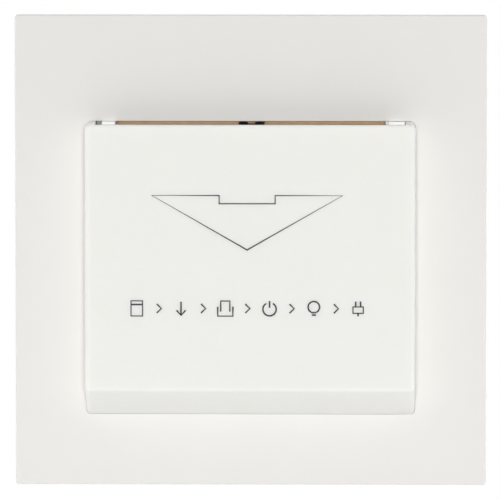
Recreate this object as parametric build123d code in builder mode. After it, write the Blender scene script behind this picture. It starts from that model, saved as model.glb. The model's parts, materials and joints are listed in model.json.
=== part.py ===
# Hotel key card switch: a flush wall switch that a room's key card holds on.
# A card pushed down into the front pocket swings a lever back. The lever presses a small
# switch, and the switch makes a power relay feed the room.
#
# Millimetres. X runs to the right, Y into the wall and Z up. The origin is midway between
# the two fixing screws on the face of the wall, so a negative y stands in the room.
from build123d import *
import math
import os

# Front plate
plate_side = 86.0
plate_front = 8.5
plate_face = 2.5
plate_corner = 0.6
plate_edge = 0.35
lip_thick = 2.0
rim_half = 42.0
rim_wall = 1.4
rim_gap = 0.2

# Card pocket
cover_half = 30.0
cover_front = 16.5
cover_top = 23.65
cover_front_top = 23.45
cover_bottom = -30.0
cover_slope_top = -24.8
cover_wall = 1.8
cover_round = 0.9
cover_top_round = 1.1
flange_reach = 31.4
flange_thick = 1.1
pocket_clearance = 0.03
window_headroom = 0.05

# Card guide
rail_front = 10.0
rail_top = 23.65
left_rail = (-27.05, -24.6)
right_rail = (25.15, 28.1)
guide_wall_front = 9.4
guide_wall_thick = 1.2
guide_wall_top = 13.0
lever_slot_half = 4.2
lever_slot_bottom = -9.0
shelf_top = -20.8
shelf_thick = 1.4
frame_thick = 1.2

# Chassis, fixing screws and housing
chassis_half = 40.0
chassis_thick = 2.0
screw_spacing = 60.3
slot_length = 7.0
slot_width = 4.2
opening_half_x = 25.4
opening_half_z = 28.4
housing_half_x = 26.3
housing_half_z = 30.0
housing_depth = 29.0
housing_wall = 1.6
housing_round = 2.0
waist_half = 24.9
waist_height = 14.0
seat_depth = 0.4
seat_gap = 0.2
column_x = 21.5
column_z = 26.2
column_radius = 3.0

# Circuit boards, given by their front faces
board_thick = 1.6
sensor_front = 1.0
power_front = -24.0
sensor_board_x = (-25.2, 24.9)
sensor_board_z = (-28.0, 28.0)
power_board_x = (-23.0, 23.0)
power_board_z = (-13.0, 28.0)

# Screws. Their hidden shanks and holes are eight-sided, which keeps the model light.
shank_sides = 8
head_sides = 12
guide_screw_radius = 0.78
guide_head_radius = 1.9
housing_screw_radius = 1.25
housing_head_radius = 2.4
head_sink = 2.6
board_screw_radius = 0.88
board_head_radius = 2.2

# Card lever, drawn with its lower end tilted into the pocket
pivot_front = 6.5
pivot_height = 21.2
rest_angle = 6.4
hub_radius = 2.25
hub_core_radius = 1.25
lever_x = (-2.15, 2.5)
spring_gap_x = (-0.55, 0.8)
arm_front = 3.5
arm_thick = 1.5
arm_length = 25.7
neck_drop = 3.2
nose_radius = 1.3
pin_radius = 0.6

# Small switch behind the lever
switch_half_x = 2.9
switch_z = (4.5, 17.3)
switch_front = 7.5
boss_height = 0.6
boss_drop = 7.7
plunger_radius = 0.8
plunger_gap = 0.05

# Wire terminals
terminal_x = (-14.25, -4.75, 4.75, 14.25)
terminal_z = -21.0
terminal_y = 19.0
wire_radius = 1.8
clamp_screw_radius = 1.45
clamp_head_radius = 2.7
carrier_bottom = -28.3
wire_entry_half = 2.3

# Power relay
relay_x = (-19.0, 13.0)
relay_z = (-4.0, 23.0)
relay_front = -4.0
relay_wall = 1.0
relay_base_thick = 2.5
relay_middle_z = 6.0
armature_gap = 0.6
armature_angle = 2.4

column_spots = [(x, z) for x in (-column_x, column_x) for z in (-column_z, column_z)]
guide_screw_spots = [(x, z) for x in (-33.9, 33.9) for z in (-18.0, 18.0)]
board_screw_spots = [(-20.2, -10.2), (20.2, -10.2)]
link_pin_x = [-5.08, -2.54, 0.0, 2.54, 5.08]
link_z = 25.6
led_spots = [(-14.0, -6.0), (14.0, -6.0)]
terminal_spots = [(x, terminal_z) for x in terminal_x]

os.makedirs("parts", exist_ok=True)


def wall_plane(front):
    """A plane along the wall, this far in front of it, that faces the room."""
    return Plane.XZ.offset(front)


def side_plane(x):
    """A plane across the switch, for profiles drawn as depth and height."""
    return Plane.YZ.offset(x)


def block(x, y, z, mode=Mode.ADD):
    """Add or cut a box given by where it starts and ends on each axis."""
    middle = ((x[0] + x[1]) / 2, (y[0] + y[1]) / 2, (z[0] + z[1]) / 2)
    with Locations(middle):
        Box(x[1] - x[0], y[1] - y[0], z[1] - z[0], mode=mode)


def rod(x, z, radius, y, mode=Mode.ADD):
    """Add or cut a round bar that runs straight into the wall, between two depths."""
    with Locations((x, (y[0] + y[1]) / 2, z)):
        Cylinder(radius, y[1] - y[0], rotation=(90, 0, 0), mode=mode)


def housing_outline(margin):
    """Draw the housing's outline, with its waist for the wall box's lugs, this much larger."""
    width = 2 * (housing_half_x + margin)
    height = 2 * (housing_half_z + margin)
    RectangleRounded(width, height, housing_round + margin)
    for side in (-1, 1):
        with Locations((side * (waist_half + margin + 2.0), 0)):
            Rectangle(4.0, waist_height - 2 * margin, mode=Mode.SUBTRACT)


def save(piece, name):
    """Label a finished piece and write its file."""
    piece.part.label = name
    export_step(piece.part, f"parts/{name}.step")


# Front plate: a square shell with a thin lip and sides that draw in towards the wall, a
# window for the pocket and hooks that clip it on.
hook_middles = (-24.0, 24.0)
hook_width = 5.0
hook_inner = 38.6
hook_tip = 37.4
window_top = cover_top + window_headroom
window_bottom = cover_bottom - pocket_clearance
window_half = cover_half + pocket_clearance
inner_half = rim_half - rim_wall

with BuildPart() as front_plate:
    with BuildSketch(wall_plane(plate_front)):
        RectangleRounded(plate_side, plate_side, plate_corner)
    extrude(amount=-lip_thick)
    with BuildSketch(wall_plane(plate_front - lip_thick)):
        RectangleRounded(plate_side - 0.4, plate_side - 0.4, plate_corner)
    with BuildSketch(wall_plane(rim_gap)):
        RectangleRounded(2 * rim_half, 2 * rim_half, plate_corner)
    loft()
    block(
        (-inner_half, inner_half),
        (-plate_front + plate_face, 0),
        (-inner_half, inner_half),
        mode=Mode.SUBTRACT,
    )
    with BuildSketch(wall_plane(plate_front)):
        with Locations((0, (window_top + window_bottom) / 2)):
            Rectangle(2 * window_half, window_top - window_bottom)
    extrude(amount=-plate_face, mode=Mode.SUBTRACT)
    for level, radius in ((window_bottom, cover_round), (window_top, cover_top_round)):
        window_corners = front_plate.edges().filter_by(Axis.Y).filter_by(
            lambda edge: abs(edge.center().Z - level) < 0.01
        )
        fillet(window_corners, radius + pocket_clearance)
    room_face = front_plate.faces().sort_by(Axis.Y)[0]
    fillet(room_face.outer_wire().edges(), plate_edge)
    with BuildSketch(wall_plane(plate_front - plate_face)):
        with Locations(*guide_screw_spots):
            Rectangle(4.4, 4.4)
    extrude(amount=-flange_thick)
    with BuildSketch(wall_plane(plate_front - 1.2)):
        with Locations(*guide_screw_spots):
            RegularPolygon(guide_screw_radius + 0.02, shank_sides)
    extrude(amount=-plate_face, mode=Mode.SUBTRACT)
    for middle in hook_middles:
        for side in (-1, 1):
            with BuildSketch(side_plane(middle - hook_width / 2)):
                with BuildLine():
                    Polyline(
                        (-plate_front + plate_face, side * (inner_half + 0.2)),
                        (-rim_gap, side * (inner_half + 0.2)),
                        (-rim_gap, side * hook_inner),
                        (-0.4, side * hook_tip),
                        (-0.8, side * hook_tip),
                        (-0.8, side * hook_inner),
                        (-plate_front + plate_face, side * hook_inner),
                        close=True,
                    )
                make_face()
            extrude(amount=hook_width)
    for x in (-38.2, 38.2):
        block((x - 0.6, x + 0.6), (-6.2, -4.6), (-inner_half, inner_half))
    block((-5, 5), (-1.8, 0), (-plate_side / 2, -inner_half), mode=Mode.SUBTRACT)
save(front_plate, "front_plate")


# Pocket cover: a milky shell, open at its top and back, that stands through the window.
guide_rib_x = (-4.5, 4.5)
guide_rib_front = cover_front - cover_wall

with BuildPart() as pocket_cover:
    with BuildSketch(side_plane(-cover_half)):
        with BuildLine():
            Polyline(
                (-cover_front, cover_top),
                (-cover_front, cover_slope_top),
                (-plate_front, cover_bottom),
                (-plate_front + plate_face + flange_thick, cover_bottom),
                (-plate_front + plate_face + flange_thick, cover_top),
                close=True,
            )
        make_face()
    extrude(amount=2 * cover_half)
    top_face = pocket_cover.faces().sort_by(Axis.Z)[-1]
    back_face = pocket_cover.faces().sort_by(Axis.Y)[-1]
    offset(amount=-cover_wall, openings=[top_face, back_face], kind=Kind.INTERSECTION)
    top_corners = pocket_cover.edges().filter_by(Axis.Y).filter_by(
        lambda edge: abs(abs(edge.center().X) - cover_half) < 0.01
        and abs(edge.center().Z - cover_top) < 0.01
    )
    fillet(top_corners, cover_top_round)
    outer_edges = pocket_cover.edges().filter_by(
        lambda edge: abs(edge.center().X) > cover_half - cover_top_round
        and abs(edge.center().X) < cover_half + 0.01
        and edge.center().Y < -plate_front + plate_face
        and not (edge.center().Z > cover_top - cover_top_round and edge.center().Y > 0.1 - cover_front)
    )
    slope_edge = pocket_cover.edges().filter_by(Axis.X).sort_by(Axis.Y).filter_by(
        lambda edge: abs(edge.center().Z - cover_slope_top) < 0.01
    )
    fillet(outer_edges + slope_edge[:1], cover_round)
    block(
        (cover_wall - cover_half, cover_half - cover_wall),
        (-cover_front, cover_wall - cover_front),
        (cover_front_top, cover_top),
        mode=Mode.SUBTRACT,
    )
    with BuildSketch(wall_plane(plate_front - plate_face)):
        with Locations((0, -5)):
            Rectangle(2 * flange_reach, 54)
        with Locations((0, -3)):
            Rectangle(2 * (cover_half - cover_wall), 50.4, mode=Mode.SUBTRACT)
    extrude(amount=-flange_thick)
    for x in guide_rib_x:
        with BuildSketch(side_plane(x - 0.75)):
            with BuildLine():
                Polyline(
                    (-guide_rib_front, 19.0),
                    (-guide_rib_front + 1.4, 16.0),
                    (-guide_rib_front + 1.4, shelf_top + 0.3),
                    (-guide_rib_front, shelf_top + 0.3),
                    close=True,
                )
            make_face()
        extrude(amount=1.5)
save(pocket_cover, "pocket_cover")


# Card guide: two rails that the card slides on, a back wall, a stop and a fixing frame.
frame_front = -plate_front + plate_face + flange_thick
frame_back = frame_front + frame_thick

with BuildPart() as card_guide:
    for rail in (left_rail, right_rail):
        block(rail, (-rail_front, frame_front), (shelf_top - shelf_thick, rail_top))
    block(
        (left_rail[0], right_rail[1]),
        (-guide_rib_front + 0.1, -guide_wall_front + guide_wall_thick),
        (shelf_top - shelf_thick, shelf_top),
    )
    block(
        (left_rail[1], right_rail[0]),
        (-guide_wall_front, -guide_wall_front + guide_wall_thick),
        (shelf_top, guide_wall_top),
    )
    rail_tips = card_guide.edges().filter_by(Axis.X).group_by(Axis.Z)[-1].group_by(Axis.Y)[0]
    fillet(rail_tips, 0.3)
    block(
        (-lever_slot_half, lever_slot_half),
        (-guide_wall_front, -guide_wall_front + guide_wall_thick),
        (lever_slot_bottom, guide_wall_top),
        mode=Mode.SUBTRACT,
    )
    with BuildSketch(wall_plane(guide_wall_front)):
        with Locations(*led_spots):
            RegularPolygon(2.4, shank_sides)
    extrude(amount=-guide_wall_thick, mode=Mode.SUBTRACT)
    with BuildSketch(wall_plane(-frame_front)):
        Rectangle(63, 54)
        with Locations((0, 3.1)):
            Rectangle(2 * 24.6, 42.2, mode=Mode.SUBTRACT)
        for side in (-1, 1):
            with Locations((side * 31.5, 0)):
                Rectangle(11.0, 10.8, mode=Mode.SUBTRACT)
        with Locations(*guide_screw_spots):
            Rectangle(5.0, 5.0)
        for x, z in guide_screw_spots:
            with Locations((math.copysign(31.5, x), z)):
                Rectangle(4.0, 5.0)
        with Locations(*guide_screw_spots):
            RegularPolygon(guide_screw_radius + 0.4, shank_sides, mode=Mode.SUBTRACT)
        with Locations((-28.1, 23.2)):
            Rectangle(2.0, 2.4, mode=Mode.SUBTRACT)
    extrude(amount=-frame_thick)
save(card_guide, "card_guide")

with BuildPart() as guide_screws:
    with BuildSketch(wall_plane(-frame_back)):
        with Locations(*guide_screw_spots):
            RegularPolygon(guide_screw_radius, shank_sides)
    extrude(amount=plate_front - 1.4 + frame_back)
    with BuildSketch(wall_plane(-frame_back)):
        with Locations(*guide_screw_spots):
            RegularPolygon(guide_head_radius, head_sides)
    extrude(amount=-1.1)
save(guide_screws, "guide_screws")


# Mounting chassis: the frame that the two fixing screws hold against the wall.
tab_front = 3.4

with BuildPart() as mounting_chassis:
    with BuildSketch(wall_plane(chassis_thick)):
        RectangleRounded(2 * chassis_half, 2 * chassis_half, 2.0)
        Rectangle(2 * opening_half_x, 2 * opening_half_z, mode=Mode.SUBTRACT)
        for side in (-1, 1):
            with Locations((side * screw_spacing / 2, 0)):
                SlotOverall(slot_length, slot_width, mode=Mode.SUBTRACT)
    extrude(amount=-chassis_thick)
    with BuildSketch(wall_plane(chassis_thick)):
        RectangleRounded(2 * chassis_half, 2 * chassis_half, 2.0)
        RectangleRounded(2 * chassis_half - 3, 2 * chassis_half - 3, 1.0, mode=Mode.SUBTRACT)
    extrude(amount=1.2)
    with BuildSketch(wall_plane(chassis_thick)):
        for z in (-33.0, 33.0):
            with Locations((0, z)):
                Rectangle(44, 5)
                Rectangle(41.6, 2.6, mode=Mode.SUBTRACT)
    extrude(amount=0.8)
    with BuildSketch(wall_plane(seat_depth)):
        housing_outline(seat_gap)
    extrude(amount=-seat_depth, mode=Mode.SUBTRACT)
    for x, z in column_spots:
        side_x = math.copysign(1, x)
        side_z = math.copysign(1, z)
        tab_x = sorted((side_x * 17.6, side_x * opening_half_x))
        tab_z = sorted((side_z * 23.4, side_z * opening_half_z))
        block(tab_x, (-tab_front, -sensor_front), tab_z)
    with BuildSketch(wall_plane(tab_front)):
        with Locations(*column_spots):
            RegularPolygon(housing_screw_radius + 0.1, shank_sides)
    extrude(amount=-tab_front, mode=Mode.SUBTRACT)
    for middle in hook_middles:
        for side in (-1, 1):
            notch_z = sorted((side * 38.3, side * 41.0))
            catch_z = sorted((side * 37.0, side * 38.3))
            notch_x = (middle - hook_width / 2 - 0.4, middle + hook_width / 2 + 0.4)
            block(notch_x, (-4, 0), notch_z, mode=Mode.SUBTRACT)
            block(notch_x, (-1.0, 0), catch_z, mode=Mode.SUBTRACT)
save(mounting_chassis, "mounting_chassis")


# Rear housing: the deep box in the wall, narrowed at its sides to pass the wall box's lugs.
vent_columns = 9
vent_pitch = 3.6

with BuildPart() as rear_housing:
    with BuildSketch(wall_plane(seat_depth)):
        housing_outline(0)
    extrude(amount=-(housing_depth + seat_depth))
    with BuildSketch(wall_plane(seat_depth)):
        housing_outline(-housing_wall)
    extrude(amount=-(housing_depth + seat_depth - housing_wall), mode=Mode.SUBTRACT)
    block(
        (-opening_half_x, opening_half_x),
        (-seat_depth, board_thick - sensor_front),
        (-opening_half_z, opening_half_z),
        mode=Mode.SUBTRACT,
    )
    for x, z in column_spots:
        rod(x, z, column_radius, (board_thick - sensor_front, housing_depth - housing_wall))
        head_y = (housing_depth - head_sink, housing_depth)
        rod(x, z, housing_head_radius + 0.1, head_y, mode=Mode.SUBTRACT)
    with BuildSketch(wall_plane(seat_depth)):
        with Locations(*column_spots):
            RegularPolygon(housing_screw_radius + 0.35, shank_sides)
    extrude(amount=-(housing_depth + seat_depth), mode=Mode.SUBTRACT)
    with BuildSketch(wall_plane(power_front - board_thick)):
        with Locations(*board_screw_spots):
            RegularPolygon(2.6, head_sides)
    extrude(amount=-(housing_depth - housing_wall + power_front - board_thick))
    with BuildSketch(wall_plane(power_front)):
        with Locations(*board_screw_spots):
            RegularPolygon(board_screw_radius + 0.02, shank_sides)
    extrude(amount=-(housing_depth + power_front - 1.0), mode=Mode.SUBTRACT)
    for x in (-12.0, 12.0):
        rest_y = (-power_front + board_thick, housing_depth - 1)
        block((x - 2, x + 2), rest_y, (25.6, housing_half_z - 1))
    for x in terminal_x:
        rod(x, terminal_z, 3.0, (housing_depth - housing_wall, housing_depth), mode=Mode.SUBTRACT)
        block(
            (x - wire_entry_half, x + wire_entry_half),
            (terminal_y - wire_entry_half, terminal_y + wire_entry_half),
            (-housing_half_z, carrier_bottom),
            mode=Mode.SUBTRACT,
        )
    with BuildSketch(wall_plane(-housing_depth)):
        with Locations((0, 8.0)):
            with GridLocations(vent_pitch, 1, vent_columns, 1):
                Rectangle(1.6, 16.0)
    extrude(amount=housing_wall, mode=Mode.SUBTRACT)
save(rear_housing, "rear_housing")

with BuildPart() as housing_screws:
    with BuildSketch(wall_plane(head_sink - housing_depth)):
        with Locations(*column_spots):
            RegularPolygon(housing_screw_radius, shank_sides)
    extrude(amount=housing_depth - head_sink + tab_front - 0.5)
    with BuildSketch(wall_plane(head_sink - housing_depth)):
        with Locations(*column_spots):
            RegularPolygon(housing_head_radius, head_sides)
    extrude(amount=-2.0)
save(housing_screws, "housing_screws")


# Card lever: a hub on a steel pin, a flat arm, a rounded nose for the card and a boss
# behind the arm that meets the switch's plunger.
tilt = math.radians(rest_angle)
lever_forward = (0, -math.cos(tilt), math.sin(tilt))


def lever_plane(x):
    """The lever's own side plane: its first axis is forward and its second is up the arm."""
    return Plane(origin=(x, -pivot_front, pivot_height), x_dir=lever_forward, z_dir=(-1, 0, 0))


arm_back = arm_front - arm_thick
arm_middle = (arm_front + arm_back) / 2
boss_back = arm_back - boss_height
lever_width = lever_x[1] - lever_x[0]
groove_width = spring_gap_x[1] - spring_gap_x[0]

with BuildPart() as card_lever:
    with BuildSketch(lever_plane(lever_x[1])):
        Circle(hub_radius)
        with Locations((arm_middle, -neck_drop)):
            Circle(arm_thick / 2)
        make_hull()
    extrude(amount=lever_width)
    with BuildSketch(lever_plane(lever_x[1])):
        with Locations((arm_middle, -(arm_length + neck_drop) / 2)):
            Rectangle(arm_thick, arm_length - neck_drop)
        with Locations((arm_front - nose_radius, -arm_length)):
            Circle(nose_radius)
    extrude(amount=lever_width)
    with BuildSketch(lever_plane(lever_x[1] - 1.2)):
        with Locations((boss_back + boss_height / 2 + 0.1, -boss_drop)):
            Rectangle(boss_height + 0.2, 1.6)
    extrude(amount=lever_width - 2.4)
    with BuildSketch(lever_plane(spring_gap_x[1])):
        Circle(hub_radius + 0.15)
        with Locations((0, -2.6)):
            Rectangle(2 * arm_back, 5.2)
        Circle(hub_core_radius, mode=Mode.SUBTRACT)
    extrude(amount=groove_width, mode=Mode.SUBTRACT)
    with Locations((0, -pivot_front, pivot_height)):
        Cylinder(pin_radius + 0.1, 10, rotation=(0, 90, 0), mode=Mode.SUBTRACT)
save(card_lever, "card_lever")

with BuildPart() as lever_pin:
    with Locations((0.175, -pivot_front, pivot_height)):
        Cylinder(pin_radius, 8.2, rotation=(0, 90, 0))
    chamfer(lever_pin.edges(), 0.15)
save(lever_pin, "lever_pin")

# The torsion spring winds round the hub's core. One leg lies in a groove behind the arm and
# pushes it forward, and the other rests on the bracket.
wire = 0.34
coil_radius = 1.78
coil_pitch = 0.37
coil_turns = 2.5
arm_leg = 5.0
rest_leg = 2.0
pivot_line = Axis((0, -pivot_front, pivot_height), (1, 0, 0))

with BuildPart() as lever_spring:
    with BuildLine() as spring_path:
        coil = Helix(
            pitch=coil_pitch,
            height=coil_pitch * coil_turns,
            radius=coil_radius,
            center=(-0.34, -pivot_front, pivot_height),
            direction=(1, 0, 0),
            mode=Mode.PRIVATE,
        ).rotate(pivot_line, -90 - rest_angle)
        add(coil)
        arm_way = Vector(0, (coil % 1).Y, (coil % 1).Z)
        rest_way = Vector(0, (coil % 0).Y, (coil % 0).Z)
        Line(coil @ 1, (coil @ 1) + arm_way * arm_leg)
        Line(coil @ 0, (coil @ 0) - rest_way * rest_leg)
    spring_wire = spring_path.wire()
    with BuildSketch(Plane(origin=spring_wire @ 0, z_dir=spring_wire % 0)):
        RegularPolygon(wire / 2, 4)
    sweep(path=spring_wire)
save(lever_spring, "lever_spring")

# Bracket: two ears that carry the pin, a ledge for the spring and pegs through the board.
ear_x = ((-3.75, -2.35), (2.7, 4.1))
peg_spots = [(-4.6, 20.2), (5.0, 20.2)]
bracket_z = (18.8, 21.9)

with BuildPart() as lever_bracket:
    block((-5.8, 6.2), (-3.2, -sensor_front), bracket_z)
    block((-2.2, 2.5), (-4.5, -sensor_front), (bracket_z[0], 19.3))
    for ear in ear_x:
        with BuildSketch(side_plane(ear[0])):
            with Locations((-pivot_front, pivot_height)):
                Circle(1.3)
            with Locations((-2.2, sum(bracket_z) / 2)):
                Rectangle(2.0, bracket_z[1] - bracket_z[0])
            make_hull()
        extrude(amount=ear[1] - ear[0])
    with Locations((0, -pivot_front, pivot_height)):
        Cylinder(pin_radius + 0.01, 12, rotation=(0, 90, 0), mode=Mode.SUBTRACT)
    with BuildSketch(wall_plane(sensor_front)):
        with Locations(*peg_spots):
            RegularPolygon(0.75, shank_sides)
    extrude(amount=-(board_thick + 0.5))
save(lever_bracket, "lever_bracket")


# Small switch on the sensor board, with its plunger under the lever's boss.
switch_middle_z = sum(switch_z) / 2
switch_pin_z = [switch_middle_z - 5.08, switch_middle_z, switch_middle_z + 5.08]
plunger_z = pivot_height - boss_drop * math.cos(tilt) + boss_back * math.sin(tilt)
plunger_front = pivot_front + boss_back * math.cos(tilt) + boss_drop * math.sin(tilt) - plunger_gap

with BuildPart() as microswitch_case:
    block((-switch_half_x, switch_half_x), (-switch_front, -sensor_front), switch_z)
    fillet(microswitch_case.edges().filter_by(Axis.Y), 0.4)
    rod(0, plunger_z, plunger_radius + 0.06, (-switch_front, -4.6), mode=Mode.SUBTRACT)
    with BuildSketch(side_plane(-switch_half_x)):
        with Locations(*[(-2.6, switch_middle_z + side * 3.25) for side in (-1, 1)]):
            RegularPolygon(1.0, shank_sides)
    extrude(amount=2 * switch_half_x, mode=Mode.SUBTRACT)
    for side in (-1, 1):
        lid_line = sorted((side * switch_half_x, side * (switch_half_x - 0.15)))
        block(lid_line, (-4.5, -4.3), switch_z, mode=Mode.SUBTRACT)
save(microswitch_case, "microswitch_case")

with BuildPart() as microswitch_pins:
    for z in switch_pin_z:
        block((-0.3, 0.3), (-sensor_front, 2.2), (z - 0.45, z + 0.45))
save(microswitch_pins, "microswitch_pins")

with BuildPart() as microswitch_plunger:
    rod(0, plunger_z, plunger_radius, (-plunger_front, -5.7))
    chamfer(microswitch_plunger.edges().sort_by(Axis.Y)[0], 0.4)
save(microswitch_plunger, "microswitch_plunger")


# Sensor board: the tan board whose upper edge shows through the card slot.
with BuildPart() as sensor_board:
    with BuildSketch(wall_plane(sensor_front)):
        with Locations((sum(sensor_board_x) / 2, sum(sensor_board_z) / 2)):
            Rectangle(sensor_board_x[1] - sensor_board_x[0], sensor_board_z[1] - sensor_board_z[0])
        with Locations(*column_spots):
            RegularPolygon(housing_screw_radius + 0.35, shank_sides, mode=Mode.SUBTRACT)
        with Locations(*peg_spots):
            RegularPolygon(0.8, shank_sides, mode=Mode.SUBTRACT)
        with Locations(*[(0, z) for z in switch_pin_z]):
            Rectangle(0.8, 1.1, mode=Mode.SUBTRACT)
        with Locations(*[(x, link_z) for x in link_pin_x]):
            Rectangle(0.8, 0.8, mode=Mode.SUBTRACT)
    extrude(amount=-board_thick)
save(sensor_board, "sensor_board")

# Two small lamps behind the pocket, with their resistors beside them.
with BuildPart() as indicator_leds:
    with BuildSketch(wall_plane(sensor_front)):
        with Locations(*led_spots):
            RegularPolygon(1.95, head_sides)
    extrude(amount=1.0)
    with BuildSketch(wall_plane(sensor_front + 1.0)):
        with Locations(*led_spots):
            Circle(1.5)
    extrude(amount=3.0)
save(indicator_leds, "indicator_leds")

with BuildPart() as led_resistors:
    for x, z in led_spots:
        for drop in (5.0, 8.0):
            chip_z = (z - drop - 0.8, z - drop + 0.8)
            block((x - 1.6, x + 1.6), (-sensor_front - 0.6, -sensor_front), chip_z)
save(led_resistors, "led_resistors")

# Link between the boards: one plastic header and five long pins.
link_hole_half = 0.34
header_y = (-power_front - 2.5, -power_front)

with BuildPart() as link_header:
    block((-6.4, 6.4), header_y, (link_z - 1.27, link_z + 1.27))
    for x in link_pin_x:
        hole_z = (link_z - link_hole_half, link_z + link_hole_half)
        block((x - link_hole_half, x + link_hole_half), header_y, hole_z, mode=Mode.SUBTRACT)
save(link_header, "link_header")

with BuildPart() as link_pins:
    for x in link_pin_x:
        block((x - 0.32, x + 0.32), (-1.6, -power_front + 2.6), (link_z - 0.32, link_z + 0.32))
save(link_pins, "link_pins")


# Power board, on posts in the housing's floor.
relay_middle_x = sum(relay_x) / 2
relay_pin_spots = [
    (relay_x[0] + 3.0, relay_middle_z - 7.5),
    (relay_x[0] + 3.0, relay_middle_z + 10.5),
    (relay_x[1] - 3.5, relay_middle_z - 7.5),
    (relay_x[1] - 3.5, relay_middle_z + 10.5),
]

with BuildPart() as power_board:
    with BuildSketch(wall_plane(power_front)):
        with Locations((sum(power_board_x) / 2, sum(power_board_z) / 2)):
            Rectangle(power_board_x[1] - power_board_x[0], power_board_z[1] - power_board_z[0])
        for side in (-1, 1):
            with Locations((side * power_board_x[1], power_board_z[1])):
                Rectangle(10.4, 10.4, mode=Mode.SUBTRACT)
        with Locations(*board_screw_spots):
            RegularPolygon(board_screw_radius + 0.4, shank_sides, mode=Mode.SUBTRACT)
        with Locations(*[(x, link_z) for x in link_pin_x]):
            Rectangle(0.8, 0.8, mode=Mode.SUBTRACT)
        with Locations(*relay_pin_spots):
            Rectangle(1.9, 1.2, mode=Mode.SUBTRACT)
    extrude(amount=-board_thick)
save(power_board, "power_board")

with BuildPart() as power_board_screws:
    with BuildSketch(wall_plane(power_front)):
        with Locations(*board_screw_spots):
            RegularPolygon(board_screw_radius, shank_sides)
    extrude(amount=-(housing_depth + power_front - 1.2))
    with BuildSketch(wall_plane(power_front)):
        with Locations(*board_screw_spots):
            RegularPolygon(board_head_radius, head_sides)
    extrude(amount=1.6)
save(power_board_screws, "power_board_screws")


# Wire terminals: brass tunnels in a moulded carrier, with clamp screws that face the rear.
carrier_y = (13.4, housing_depth - housing_wall)
carrier_z = (carrier_bottom, -14.6)
tunnel_half = 3.4
tunnel_y = (terminal_y - 3.8, 26.4)
tunnel_z = (-25.6, -16.4)

with BuildPart() as terminal_carrier:
    block((-20.8, 20.8), carrier_y, carrier_z)
    for side in (-1, 1):
        rod(side * column_x, -column_z, column_radius + 0.1, carrier_y, mode=Mode.SUBTRACT)
    for x in terminal_x:
        pocket_x = (x - tunnel_half - 0.1, x + tunnel_half + 0.1)
        pocket_z = (tunnel_z[0] - 0.1, tunnel_z[1] + 0.1)
        tag_y = (-power_front - 0.9, carrier_y[1])
        entry_y = (terminal_y - 2.2, terminal_y + 2.2)
        block(pocket_x, (tunnel_y[0] - 0.1, carrier_y[1]), pocket_z, mode=Mode.SUBTRACT)
        block((x - 1.6, x + 1.6), tag_y, (tunnel_z[1], carrier_z[1]), mode=Mode.SUBTRACT)
        block((x - 2.2, x + 2.2), entry_y, (carrier_z[0], tunnel_z[0]), mode=Mode.SUBTRACT)
save(terminal_carrier, "terminal_carrier")

with BuildPart() as wire_terminals:
    for x in terminal_x:
        block((x - tunnel_half, x + tunnel_half), tunnel_y, tunnel_z)
        wire_y = (terminal_y - wire_radius, terminal_y + wire_radius)
        block((x - wire_radius, x + wire_radius), wire_y, tunnel_z, mode=Mode.SUBTRACT)
        block((x - 1.5, x + 1.5), (-power_front - 0.8, -power_front), (tunnel_z[1], -11.4))
    with BuildSketch(wall_plane(-terminal_y)):
        with Locations(*terminal_spots):
            RegularPolygon(clamp_screw_radius + 0.05, shank_sides)
    extrude(amount=-(tunnel_y[1] - terminal_y), mode=Mode.SUBTRACT)
save(wire_terminals, "wire_terminals")

with BuildPart() as terminal_screws:
    with BuildSketch(wall_plane(-tunnel_y[1])):
        with Locations(*terminal_spots):
            RegularPolygon(clamp_screw_radius, shank_sides)
    extrude(amount=tunnel_y[1] - terminal_y - wire_radius + 0.4)
    with BuildSketch(wall_plane(-tunnel_y[1])):
        with Locations(*terminal_spots):
            RegularPolygon(clamp_head_radius, 2 * head_sides)
    extrude(amount=-1.6)
save(terminal_screws, "terminal_screws")


# Power relay: a case over a coil, a yoke and a hinged armature that closes one contact.
coil_x = relay_middle_x - 3.0
coil_z = relay_middle_z + 1.5
relay_floor = -power_front - relay_base_thick
yoke_thick = 1.5
core_radius = 3.0
core_face = relay_floor - 13.2
yoke_x = coil_x - 9.6
rock_x = yoke_x + yoke_thick / 2
pole_y = core_face
armature_back = pole_y - armature_gap
armature_front = armature_back - 1.4
bobbin_y = (core_face + 1.2, relay_floor - yoke_thick)
contact_x = coil_x + 14.0

with BuildPart() as relay_case:
    block(relay_x, (-relay_front, relay_floor), relay_z)
    fillet(relay_case.edges().filter_by(Axis.Y), 1.0)
    block(
        (relay_x[0] + relay_wall, relay_x[1] - relay_wall),
        (-relay_front + relay_wall, relay_floor),
        (relay_z[0] + relay_wall, relay_z[1] - relay_wall),
        mode=Mode.SUBTRACT,
    )
save(relay_case, "relay_case")

with BuildPart() as relay_base:
    block(relay_x, (relay_floor, -power_front), relay_z)
    fillet(relay_base.edges().filter_by(Axis.Y), 1.0)
    for x, z in relay_pin_spots:
        block((x - 0.8, x + 0.8), (relay_floor, -power_front), (z - 0.45, z + 0.45), mode=Mode.SUBTRACT)
save(relay_base, "relay_base")

with BuildPart() as relay_pins:
    for x, z in relay_pin_spots:
        block((x - 0.75, x + 0.75), (relay_floor - 1.0, -power_front + 2.6), (z - 0.4, z + 0.4))
save(relay_pins, "relay_pins")

with BuildPart() as relay_yoke:
    block((yoke_x, coil_x + 7.5), (relay_floor - yoke_thick, relay_floor), (coil_z - 5, coil_z + 5))
    block((yoke_x, yoke_x + yoke_thick), (pole_y, relay_floor), (coil_z - 5, coil_z + 5))
    with Locations((rock_x, pole_y, coil_z)):
        Cylinder(yoke_thick / 2, 10)
save(relay_yoke, "relay_yoke")

with BuildPart() as relay_core:
    rod(coil_x, coil_z, core_radius, (core_face, relay_floor - yoke_thick))
    rod(coil_x, coil_z, core_radius + 0.9, (core_face, core_face + 0.9))
save(relay_core, "relay_core")

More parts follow.
